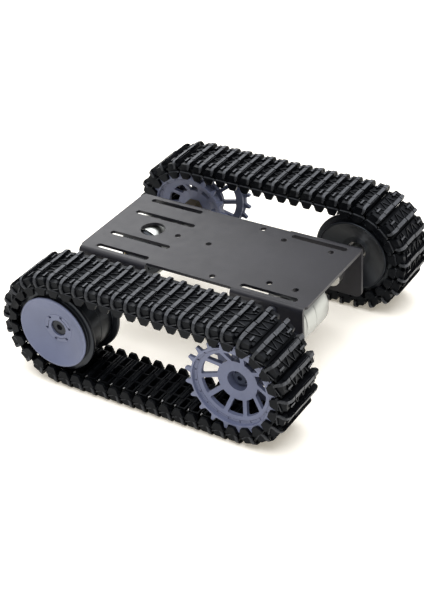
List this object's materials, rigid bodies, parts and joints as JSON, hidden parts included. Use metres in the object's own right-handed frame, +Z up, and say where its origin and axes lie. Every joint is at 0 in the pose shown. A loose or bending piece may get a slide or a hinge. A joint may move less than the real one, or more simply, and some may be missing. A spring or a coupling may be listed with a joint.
{
  "type": "tracked tank chassis",
  "caption": "Small tracked robot chassis: slotted folded plate, two geared motors, toothed drive sprockets and idler wheels at opposite corners, and two link tracks.",
  "frame": {"origin": "centre of the vehicle's footprint, on the ground", "axes": "+X along the tracks towards the right-hand sprocket, +Y to the left, +Z up"},
  "size_m": [0.2036, 0.1954, 0.0779],
  "materials": {
    "plate": "satin black anodised",
    "wheel_plastic": "satin moulded",
    "track_plastic": "satin moulded",
    "black_plastic": "semi-gloss moulded",
    "motor_metal": "plated",
    "bright_steel": "ground",
    "dark_steel": "black oxide",
    "aluminium": "turned",
    "brass": "turned"
  },
  "bodies": {
    "chassis": {"chassis_plate": "plate", "right_gearbox_front": "motor_metal", "right_gearbox_case": "motor_metal", "right_motor_can": "motor_metal", "right_motor_end_cap": "black_plastic", "right_motor_terminals": "brass", "right_motor_screws": "dark_steel", "right_idler_axle_bolt": "dark_steel", "right_idler_spacer": "aluminium", "right_idler_axle_nut": "aluminium", "right_track_links": "track_plastic", "right_track_pins": "bright_steel", "left_gearbox_front": "motor_metal", "left_gearbox_case": "motor_metal", "left_motor_can": "motor_metal", "left_motor_end_cap": "black_plastic", "left_motor_terminals": "brass", "left_motor_screws": "dark_steel", "left_idler_axle_bolt": "dark_steel", "left_idler_spacer": "aluminium", "left_idler_axle_nut": "aluminium", "left_track_links": "track_plastic", "left_track_pins": "bright_steel"},
    "right_sprocket": {"right_output_shaft": "bright_steel", "right_sprocket_outer": "wheel_plastic", "right_sprocket_inner": "wheel_plastic", "right_drive_coupler": "brass", "right_coupler_grub_screw": "dark_steel", "right_sprocket_screw": "dark_steel", "right_sprocket_washer": "bright_steel"},
    "right_idler": {"right_idler_cover": "wheel_plastic", "right_idler_outer_half": "black_plastic", "right_idler_inner_half": "black_plastic", "right_idler_bearings": "bright_steel"},
    "left_sprocket": {"left_output_shaft": "bright_steel", "left_sprocket_outer": "wheel_plastic", "left_sprocket_inner": "wheel_plastic", "left_drive_coupler": "brass", "left_coupler_grub_screw": "dark_steel", "left_sprocket_screw": "dark_steel", "left_sprocket_washer": "bright_steel"},
    "left_idler": {"left_idler_cover": "wheel_plastic", "left_idler_outer_half": "black_plastic", "left_idler_inner_half": "black_plastic", "left_idler_bearings": "bright_steel"}
  },
  "joints": [
    {"name": "right_drive", "type": "hinge", "parent": "chassis", "child": "right_sprocket", "pos_m": [0.0632, -0.0792, 0.03897], "axis": [0, 1, 0], "continuous": true},
    {"name": "right_idler_spin", "type": "hinge", "parent": "chassis", "child": "right_idler", "pos_m": [-0.05965, -0.0792, 0.03897], "axis": [0, 1, 0], "continuous": true},
    {"name": "left_drive", "type": "hinge", "parent": "chassis", "child": "left_sprocket", "pos_m": [-0.0632, 0.0792, 0.03897], "axis": [0, 1, 0], "continuous": true},
    {"name": "left_idler_spin", "type": "hinge", "parent": "chassis", "child": "left_idler", "pos_m": [0.05965, 0.0792, 0.03897], "axis": [0, 1, 0], "continuous": true}
  ],
  "couplings": [
    {"joint": "right_idler_spin", "follows": "right_drive", "ratio": 1},
    {"joint": "left_idler_spin", "follows": "left_drive", "ratio": 1}
  ]
}
